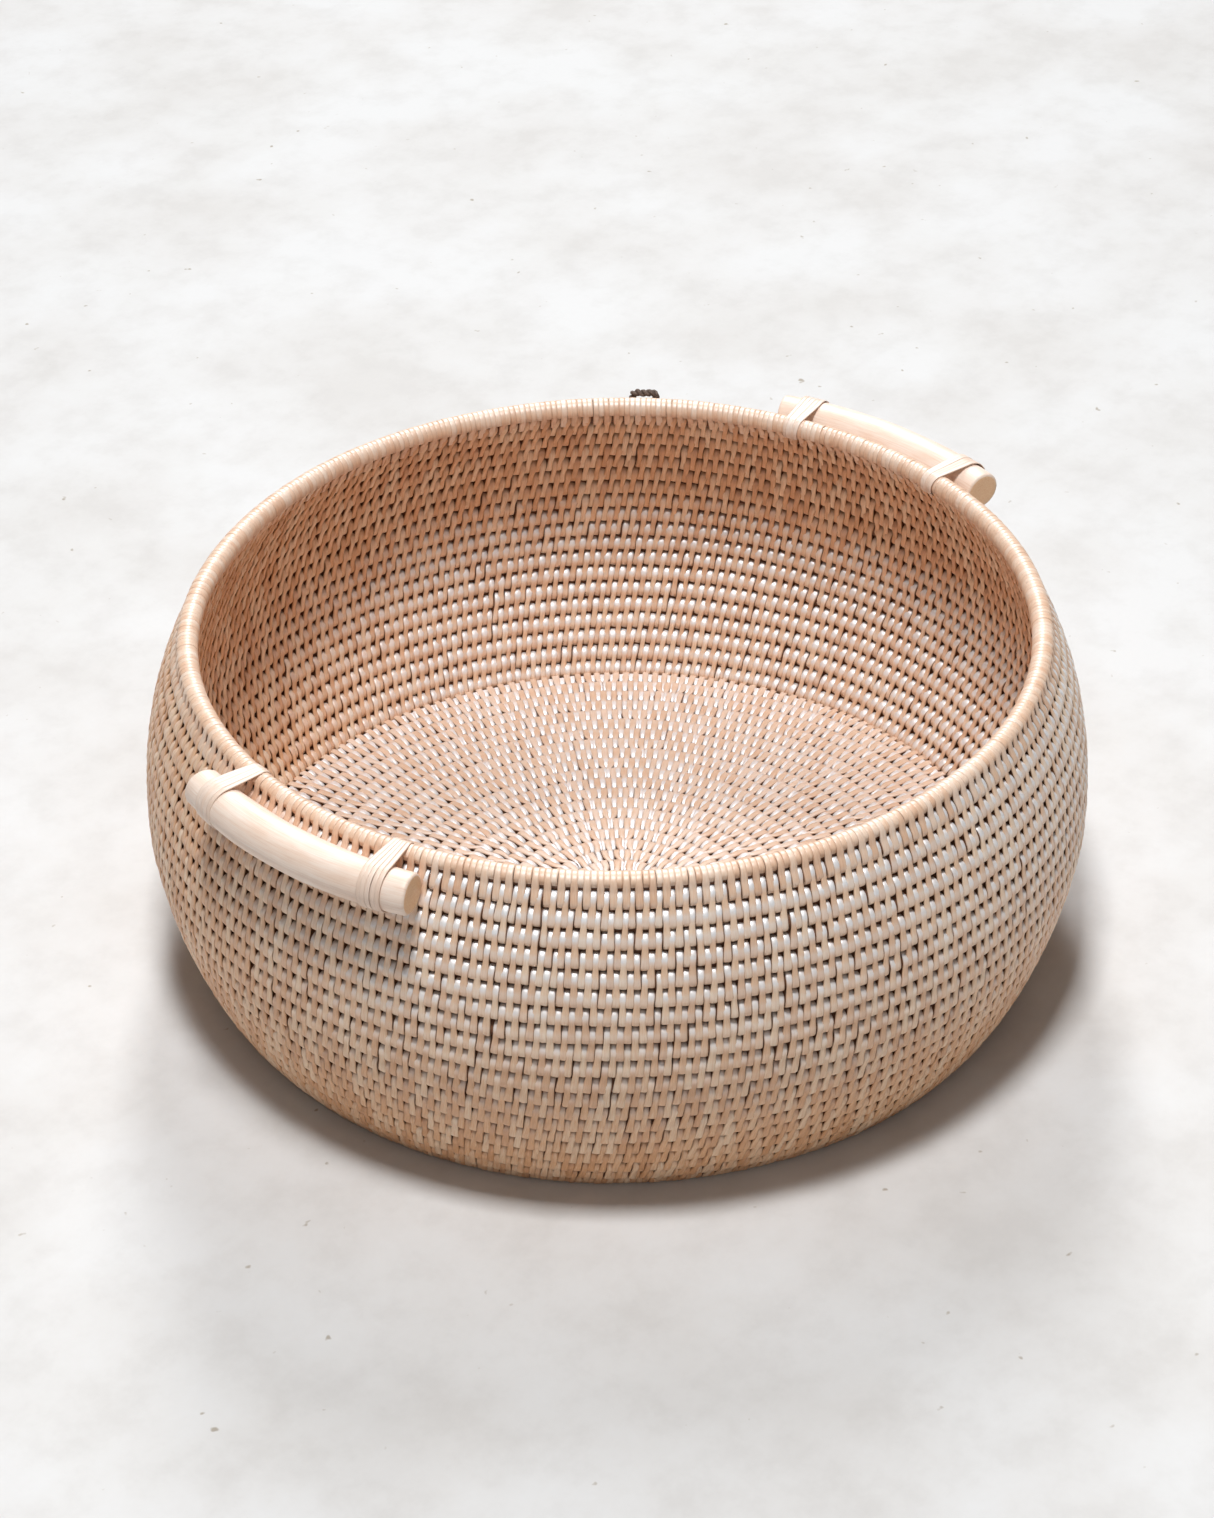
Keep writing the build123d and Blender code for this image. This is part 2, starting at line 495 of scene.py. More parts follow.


# dark, middle and pale cane, then the white of the painted highlight on the crests
STRIP_COLOURS = {
    "wall_strip": ((196, 136, 94), (230, 176, 130), (246, 218, 188), (249, 247, 248)),
    "floor_strip": ((219, 174, 139), (232, 198, 169), (241, 218, 200), (252, 252, 255)),
    "rim_strip": ((214, 161, 124), (234, 194, 162), (244, 220, 200), (252, 244, 238)),
    "lashing_strip": ((224, 188, 162), (240, 213, 193), (247, 228, 214), (250, 238, 230)),
}


def strip_material(name, first, second, highlight_whiteness, painted_light_amount=0.0):
    """Split cane: fine lines along the strip, its own tone, a painted white highlight on the crests where
    they face up, painted paling where light falls, and painted shade at the tucked ends and the edges.
    First and second say how strong the painted highlight is on each of the two crests, the third number how
    white it is, and the last how much of the rest is painted paler."""
    dark, middle, pale, highlight_white = (srgb(*colour) for colour in STRIP_COLOURS[name])
    material, tree, shader = new_material(name)
    along, across = attribute(tree, "along"), attribute(tree, "across")
    tone, run = attribute(tree, "tone"), attribute(tree, "run")
    painted_light = attribute(tree, "painted_light")
    own = times(tree, tone, 91.0)
    fine_run = times(tree, run, 90.0)
    fine = combine(tree, times(tree, across, 2.4), fine_run, own)
    fibres = noise(tree, fine, 1.6, 4.0, 0.6)
    coarse = combine(tree, across, times(tree, run, 260.0), own)
    blotch = noise(tree, coarse, 0.9, 3.0)
    strip_tone = times(tree, tone, 0.42)
    shade = math_node(tree, "ADD", strip_tone, times(tree, fibres, 0.8))
    shade = math_node(tree, "SUBTRACT", shade, 0.08)
    colour = ramp(tree, shade, [(0.08, dark), (0.5, middle), (0.85, pale)])
    # painted light: the body is mixed towards pale cane where light falls on the wall
    colour = mix(tree, "MIX", times(tree, painted_light, painted_light_amount), colour, pale)
    # painted highlight: each crest is mixed towards white, as a glint of the light from above
    share = math_node(tree, "DIVIDE", math_node(tree, "ADD", along, 0.6), 2.4)
    start = [(0.0, 0.2 * first), (0.05, 0.6 * first), (0.09, first), (0.22, first), (0.31, 0.35 * first)]
    finish = [(0.4, 0.08), (0.54, second * 0.35), (0.62, second), (0.8, second), (0.86, 0.0)]
    crest_highlight = grey_ramp(tree, share, start + finish)
    patchy = grey_ramp(tree, blotch, [(0.3, 0.75), (0.6, 1.0)])
    # the painted highlight goes only where the surface faces up, as if lit from above
    upward = times(tree, math_node(tree, "ADD", facing_up(tree), 1.0), 0.5)
    up_facing_light = grey_ramp(tree, upward, [(0.47, 0.05), (0.58, 0.4), (0.72, 1.0)])
    highlight_share = tinted(tree, tinted(tree, crest_highlight, patchy), up_facing_light)
    highlight_share = times(tree, times(tree, highlight_share, highlight_whiteness), painted_light)
    colour = mix(tree, "MIX", highlight_share, colour, highlight_white)
    # painted shade: the ends that go in under the next row are darkened
    ends = [(0.03, 0.25), (0.08, 0.85), (0.11, 1.0), (0.79, 1.0), (0.84, 0.7), (0.88, 0.25)]
    end_shade = grey_ramp(tree, share, ends)
    colour = tinted(tree, colour, end_shade)
    edge = math_node(tree, "ABSOLUTE", across)
    edge_shade = grey_ramp(tree, edge, [(0.0, 1.0), (0.75, 1.0), (1.0, 0.85)])
    colour = tinted(tree, colour, edge_shade)
    tree.links.new(colour, shader.inputs["Base Color"])
    rough = grey_ramp(tree, fibres, [(0.25, 0.3), (0.8, 0.46)])
    tree.links.new(rough, shader.inputs["Roughness"])
    shader.inputs["Specular IOR Level"].default_value = 0.25
    polish = times(tree, crest_highlight, painted_light)
    gloss = math_node(tree, "ADD", times(tree, polish, 0.94), 0.06)
    tree.links.new(gloss, shader.inputs["Coat Weight"])
    shader.inputs["Coat Roughness"].default_value = 0.46
    shader.inputs["Coat IOR"].default_value = 3.8
    bump(tree, shader, fibres, 0.35, 0.25 * MM)
    return material


def rod_material():
    """Brown cane core, seen only in the gaps, coloured darker than the cane so that it also gives the gaps
    painted shade.
    """
    material, tree, shader = new_material("rattan_core")
    geometry = tree.nodes.new("ShaderNodeTexCoord")
    speckle = noise(tree, geometry.outputs["Object"], 420.0, 4.0)
    run = attribute(tree, "run")
    streak = noise(tree, combine(tree, times(tree, run, 40.0), speckle, 0.0), 2.0, 3.0)
    browns = [(0.25, srgb(84, 52, 32)), (0.6, srgb(124, 80, 52)), (0.85, srgb(152, 108, 76))]
    colour = ramp(tree, streak, browns)
    colour = tinted(tree, colour, grey_ramp(tree, speckle, [(0.3, 0.75), (0.7, 1.0)]))
    tree.links.new(colour, shader.inputs["Base Color"])
    shader.inputs["Roughness"].default_value = 0.6
    bump(tree, shader, speckle, 0.4, 0.3 * MM)
    return material


# the numbers set the painted highlight on the first and second crests, how white it is and, on the wall,
# the painted paling
wall_strip = strip_material("wall_strip", 1.0, 0.4, 0.95, 0.36)
floor_strip = strip_material("floor_strip", 0.12, 1.0, 0.9)
rim_strip = strip_material("rim_strip", 0.35, 0.2, 0.6)
rod_skin = rod_material()

# ---------------------------------------------------------------- camera

CAMERA_TURN = math.radians(-49.6)
CAMERA_RISE = 0.620646
CAMERA_ROLL = -0.0165
CAMERA_DISTANCE = 1.9513
CAMERA_LENS = 86.72
TARGET_ACROSS = -5.4 * MM
TARGET_HEIGHT = 104.9 * MM


def view_axes():
    """Right and ahead as the camera looks, both level, and straight up."""
    right = np.array([math.cos(CAMERA_TURN), math.sin(CAMERA_TURN), 0.0])
    ahead = np.array([-math.sin(CAMERA_TURN), math.cos(CAMERA_TURN), 0.0])
    return right, ahead, np.array([0.0, 0.0, 1.0])


def make_camera():
    right, ahead, above = view_axes()
    back = -ahead * math.cos(CAMERA_RISE) + above * math.sin(CAMERA_RISE)
    up = ahead * math.sin(CAMERA_RISE) + above * math.cos(CAMERA_RISE)
    target = right * TARGET_ACROSS + above * TARGET_HEIGHT
    rolled_right = math.cos(CAMERA_ROLL) * right + math.sin(CAMERA_ROLL) * up
    rolled_up = -math.sin(CAMERA_ROLL) * right + math.cos(CAMERA_ROLL) * up
    place = target + back * CAMERA_DISTANCE
    data = bpy.data.cameras.new("camera")
    data.lens = CAMERA_LENS
    data.sensor_width = 36.0
    data.sensor_fit = "AUTO"
    data.clip_start = 0.1
    data.clip_end = 50.0
    camera = bpy.data.objects.new("camera", data)
    bpy.context.scene.collection.objects.link(camera)
    rows = [[*axis] for axis in zip(rolled_right, rolled_up, back, place)]
    camera.matrix_world = Matrix([*rows, [0, 0, 0, 1]])
    bpy.context.scene.camera = camera


make_camera()

# ---------------------------------------------------------------- the wall

wall_groups = {
    "lower": ((0, 1, 2, 3), (4, 5, 6)),
    "belly": ((7, 8, 9, 10), (11, 12, 13)),
    "shoulder": ((14, 15, 16), (17, 18, 19)),
}

for band, groups in wall_groups.items():
    for number, rows in enumerate(groups, 1):
        for face, side in ((1, "outside"), (-1, "inside")):
            name, node = f"wall_stitches_{side}_{band}_{number}", f"wall_stitching_{band}"
            add_strips(name, wall_stitches(np.array(rows), face), wall_strip, "rattan_strip", node)

core_angles = np.arange(CORE_STEPS) * math.tau / CORE_STEPS
core_at, core_half = core_profile(row_count)
rim_web = 2.6 * MM        # the core goes on this thick, on each side of its middle, up to the rim
core_places = np.concatenate([row_place(core_at), [wall_length - 3.0 * MM, wall_length]])
core_half = np.concatenate([core_half, [rim_web, rim_web]])
core_faces = []
for face in (1, -1):
    out = face * core_half[:, None]
    core_faces.append(wall_space(core_angles[None, :], core_places[:, None], out)[0])
points, quads, attributes = core_mesh(*core_faces, core_angles)
add_piece("wall_coil", points, quads, [], attributes, rod_skin, ["wall_coil_rod"])

# ---------------------------------------------------------------- the floor

# as for a wall stitch, but over the floor, where the first row is the outer one
FLOOR_AT = np.array([-0.5, -0.48, -0.44, -0.36, -0.2, 0.02, 0.22, 0.4,
                     0.56, 0.72, 0.86, 1.0, 1.14, 1.28, 1.4, 1.5])
FLOOR_OUT = MM * np.array([1.6, 3.0, 4.0, 4.6, 4.85, 4.9, 4.85, 4.7,
                           4.6, 4.75, 4.85, 4.7, 4.3, 3.7, 2.7, 1.2])
FLOOR_WIDE = np.array([1.1, 1.18, 1.24, 1.28, 1.28, 1.24, 1.18, 1.1,
                       1.04, 1.0, 1.0, 1.02, 1.02, 1.0, 0.94, 0.84])
floor_widest = 3.3 * MM
turn_noise = 0.15 * MM
floor_strip_pitch = 6.3 * MM
FLOOR_DIVE = 3.0 * MM     # inside this radius the first row's strips turn down into the middle
FLOOR_HOLE = 1.0 * MM


def floor_row_radius(row):
    """Radius of a turn of the floor's coil, counted from the middle."""
    return floor_first_radius + floor_pitch * row


def floor_row_count_of(row):
    """Number of stitches that start on a turn."""
    return max(5, round(math.tau * floor_row_radius(row) / floor_strip_pitch))


def floor_lattice():
    """For each row the angles of its stitches, and the angle and the room of the gap each goes into,
    between the stitches of the row inside it. Where a row has more stitches, two share a gap."""
    draw = np.random.default_rng(77)
    angles = np.arange(floor_row_count_of(0)) * math.tau / floor_row_count_of(0)
    lattice = [(angles, angles, np.ones(len(angles)))]
    for row in range(1, floor_rod_count + 2):
        count = len(angles)
        spacing = (np.roll(angles, -1) - angles) % math.tau
        extra = max(floor_row_count_of(row) - count, 0)
        picked = []
        parts = np.array_split(np.arange(count * -(-extra // count)), max(extra, 1))
        for part in parts[:extra]:
            picked.append(part[np.argmax(spacing[part % count])] % count)
        gap = np.sort(np.concatenate([np.arange(count), np.array(picked, int)]))
        shared = np.bincount(gap, minlength=count)[gap]
        rank = np.arange(len(gap)) - np.searchsorted(gap, gap)
        offset = (rank - (shared - 1) / 2) / shared
        entry = angles[gap] + spacing[gap] * (0.5 + 0.55 * offset)
        angles = angles[gap] + spacing[gap] * (0.5 + 0.6 * offset)
        for _ in range(10):
            before = np.roll(angles, 1)
            after = np.roll(angles, -1)
            before[0] -= math.tau
            after[-1] += math.tau
            angles = 0.5 * angles + 0.25 * (before + after)
        lattice.append((angles, entry, 1 / shared))
    return lattice


floor_starts = floor_lattice()


def floor_stitches(rows, face):
    """The same as wall_stitches, for turns of the floor."""
    centres, normals, widths, thicks, lists = [], [], [], [], []
    for row in rows:
        angle, entry, room = floor_starts[row]
        count = len(angle)
        seen = FLOOR_AT if row <= floor_rod_count else np.linspace(0.9, FLOOR_AT[-1], len(FLOOR_AT))
        at = seen[None, :] + stitch_noise(count, START_NOISE)
        radius = floor_row_radius(row) - at * floor_pitch
        second = np.clip((at - 0.15) / 0.7, 0, 1)
        second = second * second * (3 - 2 * second)
        turn = angle[:, None] + (entry - angle)[:, None] * second
        turn = turn + stitch_noise(count, turn_noise) / max(radius.max(), 20 * MM)
        dive = np.exp((np.minimum(radius, FLOOR_DIVE) - FLOOR_DIVE) / (FLOOR_DIVE - FLOOR_HOLE))
        radius = np.where(radius > FLOOR_DIVE, radius, FLOOR_HOLE + (FLOOR_DIVE - FLOOR_HOLE) * dive)
        out = np.interp(seen, FLOOR_AT, FLOOR_OUT)[None, :] - strip_thickness / 2
        out = out + stitch_noise(count, out_noise)
        centre = spun(turn, radius, floor_height + face * out)
        normal = np.zeros_like(centre)
        normal[..., 2] = face
        half_pitch = math.tau * floor_row_radius(row) / count / 2
        width = 1.02 * min(half_pitch, floor_widest) * np.interp(seen, FLOOR_AT, FLOOR_WIDE)[None, :]
        width = width * (1 + stitch_noise(count, WIDTH_NOISE))
        width = width * (1 + (0.35 + 0.65 * room[:, None] - 1) * second)
        width = np.minimum(width, 0.95 * math.tau * radius / count)
        centres.append(centre)
        normals.append(normal)
        widths.append(width)
        thicks.append(np.full_like(width, strip_thickness))
        lists.append(at)
    centre = np.concatenate(centres)
    at = np.concatenate(lists)
    attributes = ribbon_attributes(at, rng.random(len(centre)), at * floor_pitch)
    return centre, np.concatenate(normals), np.concatenate(widths), np.concatenate(thicks), attributes


floor_groups = {"inner": range(0, 13), "middle": range(13, 18), "outer": range(18, floor_rod_count + 2)}
for part, rows in floor_groups.items():
    for face, side in ((1, "top"), (-1, "underside")):
        strips = floor_stitches(rows, face)
        add_strips(f"floor_stitches_{side}_{part}", strips, floor_strip, "rattan_strip", "floor_stitching")

core_at, core_half = core_profile(floor_rod_count + 1)
core_radii = np.maximum(floor_first_radius + core_at * floor_pitch, 0.5 * MM)
core_faces = []
for face in (1, -1):
    height = floor_height + face * core_half
    core_faces.append(spun(core_angles, core_radii[:, None], height[:, None]))
points, quads, attributes = core_mesh(core_faces[1], core_faces[0], core_angles)
add_piece("floor_coil", points, quads, [], attributes, rod_skin, ["floor_coil_rod"])

# ---------------------------------------------------------------- the rim


def smooth_path(points, stations):
    """A rounded line through the points, with evenly spaced stations."""
    points = np.asarray(points, float)
    ends = np.vstack([2 * points[0] - points[1], points, 2 * points[-1] - points[-2]])
    fine = []
    for p0, p1, p2, p3 in zip(ends, ends[1:], ends[2:], ends[3:]):
        for share in np.linspace(0, 1, 12, endpoint=False):
            cubic = 2 * p1 + (p2 - p0) * share + (2 * p0 - 5 * p1 + 4 * p2 - p3) * share**2
            fine.append(0.5 * (cubic + (3 * p1 - p0 - 3 * p2 + p3) * share**3))
    fine.append(points[-1])
    fine = np.array(fine)
    run = np.concatenate([[0], np.cumsum(np.linalg.norm(np.diff(fine, axis=0), axis=1))])
    even = np.linspace(0, run[-1], stations)
    return np.stack([np.interp(even, run, fine[:, axis]) for axis in range(fine.shape[1])], -1), even


# the rim's wraps in (out, up) from the rim rod's centre: the roll, then down each face of the wall
WRAP_OUT = roll_radius - 0.4 * MM


def wrap_leg(face, long_leg):
    """Points of one leg, from the roll down: either tucked under the roll or over the first row."""
    if long_leg:
        gap = wall_length - row_places[-1]
        places = [(-0.5 * gap, 4.8), (-0.8 * gap, 4.9), (-gap, 5.0), (-gap - 0.22 * row_pitch, 4.9)]
        places += [(-gap - 0.34 * row_pitch, 4.3), (-gap - 0.42 * row_pitch, 3.0)]
        places += [(-gap - 0.47 * row_pitch, 1.2)]
    else:
        places = [(-0.6 * MM, 5.0), (-1.4 * MM, 4.4), (-2.0 * MM, 3.5), (-2.5 * MM, 2.4), (-2.8 * MM, 1.2)]
    return [(face * (out * MM - strip_thickness / 2), up) for up, out in places]


def wrap_path(long_leg):
    """One wrap: up the outside of the wall, over the roll and down the inside."""
    roll = np.radians(np.linspace(-20, 200, 11) if long_leg else np.linspace(4, 176, 11))
    over = [(WRAP_OUT * math.cos(a), WRAP_OUT * math.sin(a)) for a in roll]
    return wrap_leg(1, long_leg)[::-1] + over + wrap_leg(-1, long_leg)


WRAP_STATIONS = 34
WRAP_FILL = 1.15          # a wrap's width, in columns


def rim_wraps(first):
    """Every second wrap, starting from the first: even columns have long legs and odd ones short."""
    long_leg = first == 0
    path, even = smooth_path(wrap_path(long_leg), WRAP_STATIONS)
    columns = np.arange(first, column_count, 2)
    count = len(columns)
    step = math.tau / column_count
    out, up = path[:, 0][None, :], path[:, 1][None, :]
    swell = 1 + stitch_noise(count, 0.01)
    out, up = out * swell, up * np.where(up > 0, swell, 1.0)
    angle = (columns[:, None] + 0.5) * step + stitch_noise(count, 0.04 * step)
    slant = stitch_noise(count, 0.05) + 0.06
    angle = angle + slant * np.clip(out / roll_radius, -1, 1) * step
    place = wall_length + np.zeros_like(angle)
    normal_r = np.interp(wall_length, line_s, line_dz)
    normal_z = -np.interp(wall_length, line_s, line_dr)
    below = np.minimum(up, 0.0)
    low_point, _ = wall_space(angle, place + below, out + 1e-9)
    along_r, along_z = -normal_z, normal_r
    above = np.maximum(up, 0.0)
    lift = spun(angle, along_r, along_z)
    centre = low_point + lift * above[..., None]
    tangent = np.gradient(path, axis=0)
    flat_normal = np.stack([-tangent[:, 1], tangent[:, 0]], -1)
    flat_normal = flat_normal * np.sign(np.sum(flat_normal * path, -1) + 1e-12)[:, None]
    outward = spun(angle, normal_r, normal_z)
    normal = outward * flat_normal[None, :, :1] + lift * flat_normal[None, :, 1:]
    middle = even - even[-1] / 2
    shape = np.interp(np.abs(middle), [0, 8 * MM, 11 * MM, even[-1] / 2], [1.0, 1.0, 1.12, 1.12])
    width = WRAP_FILL * step * rim_radius * shape[None, :] * (1 + stitch_noise(count, 0.04))
    thickness = np.full_like(width, strip_thickness)
    share = np.abs(middle) / (even[-1] / 2)
    # places the painted highlight on the top of the roll and faintly on the legs, and painted shade at the
    # legs' ends
    along = np.interp(share, [0, 0.6, 0.8, 1.0], [0.0, 0.25, 0.9, 1.5])
    attributes = ribbon_attributes(np.repeat(along[None, :], count, 0), rng.random(count),
                                   np.repeat(even[None, :], count, 0))
    return centre, normal, width, thickness, attributes


for first, name in ((0, "rim_wraps_long"), (1, "rim_wraps_short")):
    add_strips(name, rim_wraps(first), rim_strip, "rim_strip", "rim_wrapping", FLAT_UP)

points, quads, attributes = ring_tube(wall_length, rim_rod_radius, 12, 300)
add_piece("rim_core", points, quads, [], attributes, rod_skin, ["rim_rod"])

# ---------------------------------------------------------------- the poles


def pole_material():
    """Peeled cane: pale skin with a faint grain along it, and pith on the cut ends."""
    material, tree, shader = new_material("peeled_cane")
    run, around, rim = attribute(tree, "run"), attribute(tree, "around"), attribute(tree, "end")
    circle_x = math_node(tree, "COSINE", around)
    circle_y = math_node(tree, "SINE", around)
    skin = [times(tree, circle, 7.0) for circle in (circle_x, circle_y)]
    grain_vector = combine(tree, *skin, times(tree, run, 14.0))
    grain = noise(tree, grain_vector, 3.2, 5.0, 0.62)
    cloud = noise(tree, combine(tree, circle_x, circle_y, times(tree, run, 30.0)), 1.3, 3.0)
    tans = [(0.25, srgb(236, 208, 188)), (0.48, srgb(250, 231, 217)), (0.8, srgb(254, 242, 233))]
    colour = ramp(tree, grain, tans)
    stain = ramp(tree, cloud, [(0.35, srgb(244, 226, 210)), (0.65, srgb(255, 252, 248))])
    colour = mix(tree, "MULTIPLY", 0.6, colour, stain)
    disc = [times(tree, circle, rim) for circle in (circle_x, circle_y)]
    pith = noise(tree, combine(tree, *disc, 4.0), 9.0, 4.0)
    cut = ramp(tree, pith, [(0.3, srgb(236, 186, 140)), (0.7, srgb(248, 209, 167))])
    on_end = grey_ramp(tree, rim, [(0.0, 1.0), (0.93, 1.0), (0.97, 0.0)])
    colour = mix(tree, "MIX", on_end, colour, cut)
    tree.links.new(colour, shader.inputs["Base Color"])
    rough = grey_ramp(tree, grain, [(0.3, 0.36), (0.8, 0.5)])
    tree.links.new(rough, shader.inputs["Roughness"])
    bump(tree, shader, grain, 0.25, 0.3 * MM)
    return material


POLE_SIDES = 40
POLE_STEPS = 72


def tube_faces(steps, sides):
    """Faces of a closed tube whose rings come first and whose two end middles come last."""
    step = np.arange(steps - 1)[:, None] * sides
    corner = np.arange(sides)[None, :]
    after = (corner + 1) % sides
    quads = [step + corner, step + after, step + sides + after, step + sides + corner]
    near, far, top = steps * sides, steps * sides + 1, (steps - 1) * sides
    fan = [[near, (k + 1) % sides, k] for k in range(sides)]
    fan += [[far, top + k, top + (k + 1) % sides] for k in range(sides)]
    return np.stack(quads, -1).reshape(-1, 4), np.array(fan)


def make_pole(side, middle, seed):
    """A bent pole, slightly uneven, with softly rounded cut ends."""
    draw = np.random.default_rng(seed)
    around = np.arange(POLE_SIDES) * math.tau / POLE_SIDES
    reach = pole_half_span * pole_centre_radius
    body = np.linspace(-reach + pole_chamfer, reach - pole_chamfer, POLE_STEPS)
    edge = np.array([0.0, 0.12, 0.3, 0.62]) * pole_chamfer
    runs = np.concatenate([-reach + edge, body, reach - edge[::-1]])
    shrink = np.array([1.0, 0.62, 0.32, 0.1]) * pole_chamfer
    trim = np.concatenate([shrink, np.zeros(POLE_STEPS), shrink[::-1]])
    taper = 1 - 0.075 * np.clip((np.abs(runs) / reach - 0.35) / 0.65, 0, 1) ** 1.6
    swell = 1 + 0.010 * np.sin(runs * 60 + draw.uniform(0, 6))
    swell = swell + 0.007 * np.sin(runs * 135 + draw.uniform(0, 6))
    base = pole_radius * taper * swell - trim
    inner = [0.72, 0.4, 0.12]
    inset = [0.25 * MM * (1 - k) for k in inner]
    head, tail = [runs[0] + k for k in inset[::-1]], [runs[-1] - k for k in inset]
    run_all = np.concatenate([head, runs, tail])
    radius_all = np.concatenate([[base[0] * k for k in inner[::-1]], base, [base[-1] * k for k in inner]])
    bend = 0.6 * MM * np.sin(runs * 18 + draw.uniform(0, 6))
    bend_all = np.interp(run_all, runs, bend)
    oval = 1 + 0.018 * np.cos(2 * around[None, :] + run_all[:, None] * 9)
    ring_radius = radius_all[:, None] * oval
    angle = middle + run_all / pole_centre_radius
    r = pole_centre_radius + bend_all[:, None] + ring_radius * np.cos(around)[None, :]
    z = pole_height + ring_radius * np.sin(around)[None, :]
    points = spun(angle[:, None], r, z).reshape(-1, 3)
    steps = len(run_all)
    quads, fan = tube_faces(steps, POLE_SIDES)
    quads, fan = quads[:, ::-1], fan[:, [0, 2, 1]]
    centres = []
    for index in (0, steps - 1):
        centres.append(points[index * POLE_SIDES:(index + 1) * POLE_SIDES].mean(0))
    points = np.vstack([points, centres])
    end = np.concatenate([[k * 0.9 for k in inner[::-1]], np.ones(len(runs)), [k * 0.9 for k in inner]])
    end[len(inner)] = end[-len(inner) - 1] = 0.93
    attributes = {
        "run": np.concatenate([np.repeat(run_all, POLE_SIDES), [run_all[0], run_all[-1]]]) + seed,
        "around": np.concatenate([np.tile(around, steps), [0, 0]]),
        "end": np.concatenate([np.repeat(end, POLE_SIDES), [0, 0]]),
    }
    nodes = [f"handle_pole_{side}"]
    add_piece(f"pole_{side}", points, quads, fan, attributes, pole_skin, nodes)


pole_skin = pole_material()
make_pole("right", 0.0, 3)
make_pole("left", math.pi, 8)

# ---------------------------------------------------------------- the lashings

lashing_offset = math.radians(12.4)
lashing_turns = 5
lashing_turn_width = 2.45 * MM
lashing_strip_thickness = 0.5 * MM
LASHING_STATIONS = 56


def lashing_path():
    """One turn in (radius, height): from under the rim inside, over rim and pole, back to the wall."""
    clear = 0.15 * MM + lashing_strip_thickness / 2
    rim = np.array([rim_radius, rim_height])
    pole = np.array([pole_centre_radius, pole_height])
    reach = pole - rim
    rim_r, pole_r = roll_radius + clear, pole_radius + clear
    heading = math.atan2(reach[1], reach[0])
    open_angle = math.acos((rim_r - pole_r) / np.linalg.norm(reach))
    upper, lower = heading + open_angle, heading - open_angle
    start = math.radians(232)
    path = [rim + (rim_r - 2.4 * MM) * np.array([math.cos(start + 0.3), math.sin(start + 0.3)])]
    for angle in np.linspace(start, upper, 9):
        path.append(rim + rim_r * np.array([math.cos(angle), math.sin(angle)]))
    for angle in np.linspace(upper, lower, 22):
        path.append(pole + pole_r * np.array([math.cos(angle), math.sin(angle)]))
    toward = rim + rim_r * np.array([math.cos(lower), math.sin(lower)])
    leave = path[-1]
    for share in (0.25, 0.5, 0.7):
        path.append(leave + (toward - leave) * share)
    return path


def make_lashing(side, end, middle):
    path, even = smooth_path(lashing_path(), LASHING_STATIONS)
    turns = np.arange(lashing_turns) - (lashing_turns - 1) / 2
    share = np.linspace(-0.5, 0.5, LASHING_STATIONS)[None, :]
    over_rim = np.clip((-share - 0.1) / 0.4, 0, 1) ** 1.5
    gather = 1 - rng.uniform(0.3, 0.5) * over_rim
    lateral = turns[:, None] * lashing_turn_width * gather + share * 0.5 * lashing_turn_width
    lateral = lateral + stitch_noise(1, 1.2 * MM) * over_rim + stitch_noise(lashing_turns, 0.1 * MM)
    lateral = lateral + 0.14 * MM * np.sin(share * 9 + rng.uniform(0, 6, (lashing_turns, 1)))
    angle = middle + lateral / pole_centre_radius
    tangent = np.gradient(path, axis=0)
    normal_flat = unit(np.stack([tangent[:, 1], -tangent[:, 0]], -1))
    inward = np.array([(rim_radius + pole_centre_radius) / 2, (rim_height + pole_height) / 2])
    facing = np.sign(np.sum(normal_flat * (path - inward), -1))
    normal_flat = normal_flat * np.median(facing)
    lift = stitch_noise(lashing_turns, 0.08 * MM) + 0.25 * MM * over_rim
    radius = path[None, :, 0] + normal_flat[None, :, 0] * lift
    height = path[None, :, 1] + normal_flat[None, :, 1] * lift
    centre = spun(angle, radius, height)
    normal = spun(angle, normal_flat[None, :, 0], normal_flat[None, :, 1])
    width = lashing_turn_width * 1.16 * (1 + stitch_noise(lashing_turns, 0.05)) * gather
    thickness = np.full_like(width, lashing_strip_thickness)
    # a fixed place along the stitch, which gives a faint painted highlight where the lashing faces up
    along = np.full_like(width, 0.25)
    length = np.repeat(even[None, :], lashing_turns, 0)
    attributes = ribbon_attributes(along, rng.random(lashing_turns), length)
    strips = (centre, normal, width, thickness, attributes)
    name, node = f"lashing_turns_{side}_{end}", f"lashing_{side}_{end}"
    add_strips(name, strips, lashing_skin, "lashing_strip", node, FLAT_UP)


lashing_skin = strip_material("lashing_strip", 0.3, 0.2, 0.5)
for side, middle in (("right", 0.0), ("left", math.pi)):
    for end, offset in (("a", -lashing_offset), ("b", lashing_offset)):
        make_lashing(side, end, middle + offset)

# ---------------------------------------------------------------- the twine

twine_radius = 2.2 * MM
twine_ply_radius = 1.15 * MM
twine_half_width = 9.0 * MM
twine_twists = 9


def twine_material():
    material, tree, shader = new_material("dark_twine")
    coordinates = tree.nodes.new("ShaderNodeTexCoord")
    hairs = noise(tree, coordinates.outputs["Object"], 900.0, 5.0, 0.7)
    darks = [(0.3, srgb(62, 50, 44)), (0.55, srgb(112, 94, 84)), (0.8, srgb(168, 148, 134))]
    colour = ramp(tree, hairs, darks)
    tree.links.new(colour, shader.inputs["Base Color"])
    shader.inputs["Roughness"].default_value = 0.85
    bump(tree, shader, hairs, 0.8, 0.4 * MM)
    return material


